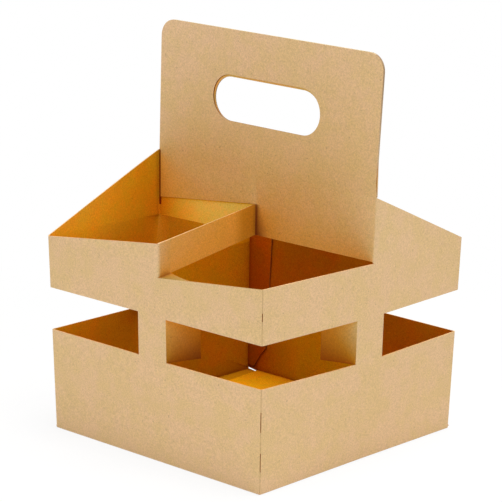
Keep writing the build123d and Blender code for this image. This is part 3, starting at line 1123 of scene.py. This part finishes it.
def strap_tone(middle, normal, at, surface):
    """Painted light and shade on a strap's two faces, from its shaded end on the leaf to its lit root."""
    along_strap = abs(middle.x) < STRAP_ZONE and 1 < abs(middle.y) < 80 and middle.z > ROOT_LOW
    if along_strap and abs(normal.x) > 0.8:
        shade_start, shade_stop = STRAP_SHADE
        open_tone = between(*STRAP_TONES, (abs(at.y) - shade_start) / STRAP_SPAN)
        return between(STRAP_END_SHADE, open_tone, (abs(at.y) - shade_stop) / (shade_start - shade_stop))


def web_tone(middle, normal, at, surface):
    """Painted shade on a web, darkest at the strap's root and lighter towards its long edge."""
    if abs(normal.z) > 0.7 and 128 < middle.z < 140 and abs(middle.y) > 80:
        along_wall = (abs(at.x) - STRAP_ROOT) / WEB_ALONG_WALL
        along_strap = (half(ROOT_LOW) - abs(at.y)) / WEB_ALONG_STRAP
        return between(WEB_ROOT_SHADE, WEB_EDGE_SHADE, (along_wall + along_strap) * WEB_FULL)


print("strap's tones:", STRAP_TONES, "web's:", WEB_ROOT_SHADE, WEB_EDGE_SHADE)

# %% [markdown]
# ## Painted light and shade on the tabs, and the creases
#
# A tab is lit through the window from one side and by the tray's orange from the other, and both are
# painted on it, so its tone changes both upwards and inwards. The middle of a corner's bend is slightly
# darker on the outside.

# %% Tone the tabs and creases
# Painted light and shade on the tabs. Each list: low and high at the hinge, then low and high at the free
# edge.
SIDE_TAB_TONES = [(0.54, 0.35, 0.0), (1.12, 0.86, 0.44), (0.4, 0.22, 0.0), (0.9, 0.64, 0.0)]
END_TAB_TONES = [(0.66, 0.42, 0.0), (1.0, 1.12, 1.0), (0.54, 0.3, 0.0), (0.92, 0.76, 0.1)]
TAB_SPAN, TAB_ZONE = 22.0, 75.0
CREASE_TONE = (0.8, 0.78, 0.74)


def tab_tone(middle, normal, at, surface):
    """Painted light and shade on a tab, which stands just inside the walls. The glued corner has none."""
    wall, out = half(middle.z), max(abs(middle.x), abs(middle.y))
    if SILL < middle.z < LINTEL and TAB_ZONE < out < wall - 1 and not middle.x < 0 < middle.y:
        on_side = abs(middle.y) > abs(middle.x)
        hinge_low, hinge_high, free_low, free_high = SIDE_TAB_TONES if on_side else END_TAB_TONES
        up = (at.z - SILL) / (LINTEL - SILL)
        inward = (half(at.z) - max(abs(at.x), abs(at.y))) / TAB_SPAN
        return between(between(hinge_low, hinge_high, up), between(free_low, free_high, up), inward)


def crease_tone(middle, normal, at, surface):
    """The middle of a corner's bend, on the outside."""
    edge = half(middle.z) - BEND
    slanting = near(abs(normal.x), 0.707, 0.1)
    if surface != INNER_FACE and abs(middle.x) > edge and abs(middle.y) > edge and slanting:
        return CREASE_TONE


print("tabs' tones:", len(SIDE_TAB_TONES) + len(END_TAB_TONES), "crease:", CREASE_TONE)

# %% [markdown]
# ## Painted light and shade in the tray's inside
#
# Through the openings one sees the insides of the rear and left walls, the glue flap and a little of
# the floor. Their painted light and shade makes them the deepest orange near the corners and the floor,
# and lighter where a window faces them. The left wall has a painted tone for each level, because it is
# seen through two openings.

# %% Tone the tray's inside
FLAP_END = -80.0
# Painted light and shade inside the tray, by wall, level and floor.
FLAP_TONES = [(0.8, 0.6, 0.15), (1.08, 0.82, 0.2)]
REAR_TONES = [(0.98, 0.88, 0.2), (0.75, 0.62, 0.2)]
REAR_LOW_TONES, REAR_LOW_END = [(1.0, 0.8, 0.3), (1.13, 1.72, 0.9)], 20.0
LEFT_LOW_TONE, LEFT_TONE, LEFT_TOP_TONE = (0.74, 0.78, 0.3), (1.04, 1.08, 0.35), (1.35, 1.6, 0.6)
LEFT_NEAR_TONES = [(0.8, 0.76, 0.3), (1.0, 1.0, 0.4)]
LEFT_NEAR_TOP_TONES = [(0.93, 0.87, 0.3), (1.08, 1.03, 0.6)]
# Where a tone starts to change, out from the middle of the left wall, and how far it takes.
LEFT_FADE, LEFT_LOW_FADE = (20.0, 70.0), (50.0, 40.0)
FLOOR_TONES = [(0.98, 1.07, 1.6), (1.3, 1.5, 0.5)]


def rear_wall_tone(middle, normal, at, surface):
    """Painted light and shade on the rear wall's inside, with the glue flap at its left end."""
    if surface == INNER_FACE and middle.y > WALL_ZONE and normal.y < -0.9:
        if middle.x < FLAP_END:
            return between(*FLAP_TONES, (at.z - SILL) / (LINTEL - SILL))
        low = middle.z < LOW_SLICE and middle.x < REAR_LOW_END
        return between(*(REAR_LOW_TONES if low else REAR_TONES), (at.x - FLAP_END) / (REAR_SLICE - FLAP_END))


def left_wall_tone(middle, normal, at, surface):
    """Painted light and shade on the left wall's inside: its rear half, and its front half."""
    if surface == INNER_FACE and middle.x < -WALL_ZONE:
        if middle.y <= 0:
            tones = LEFT_NEAR_TONES if middle.z < LINTEL else LEFT_NEAR_TOP_TONES
            return between(*tones, (-at.y - LEFT_FADE[0]) / LEFT_FADE[1])
        if middle.z > LINTEL:
            return between(PLAIN, LEFT_TOP_TONE, (at.y - LEFT_FADE[0]) / LEFT_FADE[1])
        if middle.z > LOW_SLICE:
            return LEFT_TONE
        return between(LEFT_LOW_TONE, LEFT_TONE, (at.y - LEFT_LOW_FADE[0]) / LEFT_LOW_FADE[1])


def floor_tone(middle, normal, at, surface):
    """Painted light and shade on the tray's floor, which deepens into its rear left corner."""
    if middle.z < 8 and normal.z > 0.7:
        start, stop = FLOOR_SLICES
        return between(*FLOOR_TONES, (min(-at.x, at.y) - start) / (stop - start))


print("floor's tones:", FLOOR_TONES)

# %% [markdown]
# ## Writing the tones
#
# The rules are asked in turn, and the first that answers gives the tone. The order matters where two
# places meet: the handle's edges and shaded strips come before its open faces, and tabs before walls.

# %% Write the painted light and shade on the mesh
RULES = (handle_edge_tone, gap_tone, strip_tone, beside_strap_tone, strap_tone, handle_tone,
         web_tone, tab_tone, crease_tone, rear_wall_tone, left_wall_tone, floor_tone)

painted_light = band.data.attributes.new("painted_light_and_shade", "FLOAT_COLOR", "CORNER")
toned = 0
for face in band.data.polygons:
    for corner in face.loop_indices:
        at = band.data.vertices[band.data.loops[corner].vertex_index].co / MM
        answers = (rule(face.center / MM, face.normal, at, face.material_index) for rule in RULES)
        tone = next((answer for answer in answers if answer), PLAIN)
        painted_light.data[corner].color = (*tone, 1)
        toned += tone != PLAIN
print("corners with a deeper tone:", toned)

# %% [markdown]
# ## The floor
#
# A product photograph on white is taken on a sweep of matt white paper. Here the paper is a plane that
# takes the carrier's shadow. The camera sees it mixed with plain white: nearly nine parts in ten close
# to the carrier, where a faint shadow has to show, and all of it from half a metre out, where the floor
# runs into the background.

# %% Lay the floor
FLOOR_SIDE, FLOOR_DROP = 30.0, 0.0005
SHADOW_REACH, WHITE_FROM = 0.15, 0.5
WHITE_NEAR = 0.88

scene = bpy.context.scene
scene.view_settings.view_transform = "Standard"
bpy.ops.mesh.primitive_plane_add(size=FLOOR_SIDE, location=(0, 0, -FLOOR_DROP))
floor = bpy.context.object
floor.name = "floor"
# Matt paper: rolled without a coating, so the eye sees a white with no gloss and no edge.
paper = bpy.data.materials.new("matt_white_paper_sweep")
paper.use_nodes = True
tree = paper.node_tree
shader = tree.nodes["Principled BSDF"]
shader.inputs["Base Color"].default_value = colour("#F2F2F2")
shader.inputs["Roughness"].default_value = 0.9
glow = add(tree, "ShaderNodeEmission", Color=WHITE, Strength=1.0)
ray = add(tree, "ShaderNodeLightPath")
place = add(tree, "ShaderNodeTexCoord").outputs["Object"]
away = add(tree, "ShaderNodeVectorMath", {"operation": "LENGTH"}, i0=place).outputs["Value"]
seen = ray.outputs["Is Camera Ray"]
bright = add(tree, "ShaderNodeMapRange", Value=away,
             From_Min=SHADOW_REACH, From_Max=WHITE_FROM, To_Min=WHITE_NEAR)
seen = add(tree, "ShaderNodeMath", {"operation": "MULTIPLY"}, i0=seen, i1=bright.outputs[0])
blend = add(tree, "ShaderNodeMixShader", i0=seen.outputs[0], i1=shader.outputs[0], i2=glow.outputs[0])
tree.links.new(blend.outputs[0], tree.nodes["Material Output"].inputs["Surface"])
floor.data.materials.append(paper)
print("floor:", floor.name, "in", paper.name)

# %% [markdown]
# ## The room and its lamps
#
# The light comes from the white room all round and from three large soft boxes: one in front, one to
# the right, and the strongest above. The room lights the board dimly, and is plain white wherever the
# camera, gloss or glass looks straight at it, so the background is white without more light on the board.

# %% Light the room and hang the lamps
ROOM_COLOUR, ROOM_STRENGTH = (1.0, 0.98, 0.95, 1), 0.42
LAMPS_LOOK_AT = Vector((0, 0, 0.12))

world = bpy.data.worlds.new("white_room")
scene.world = world
world.use_nodes = True
tree = world.node_tree
lit = tree.nodes["Background"]
lit.inputs["Color"].default_value = ROOM_COLOUR
lit.inputs["Strength"].default_value = ROOM_STRENGTH
white = add(tree, "ShaderNodeBackground", Color=WHITE, Strength=1.0)
ray = add(tree, "ShaderNodeLightPath")
direct = ray.outputs["Is Camera Ray"]
for kind in ("Is Glossy Ray", "Is Transmission Ray"):
    direct = add(tree, "ShaderNodeMath", {"operation": "MAXIMUM"}, i0=direct, i1=ray.outputs[kind]).outputs[0]
blend = add(tree, "ShaderNodeMixShader", i0=direct, i1=lit.outputs[0], i2=white.outputs[0])
tree.links.new(blend.outputs[0], tree.nodes["World Output"].inputs["Surface"])


def lamp(name, place, size, power):
    """A square soft box, turned towards the carrier's middle, in metres and watts."""
    bpy.ops.object.light_add(type="AREA", location=place)
    light = bpy.context.object
    light.name = name
    light.data.size = size
    light.data.energy = power
    light.rotation_euler = (Vector(place) - LAMPS_LOOK_AT).to_track_quat("Z", "Y").to_euler()


lamp("soft_box_front", (-0.25, -0.95, 0.4), 0.7, 2.4)
lamp("soft_box_right", (0.95, -0.3, 0.7), 0.8, 2.5)
lamp("soft_box_above", (0.22, 0.15, 1.4), 0.8, 17)
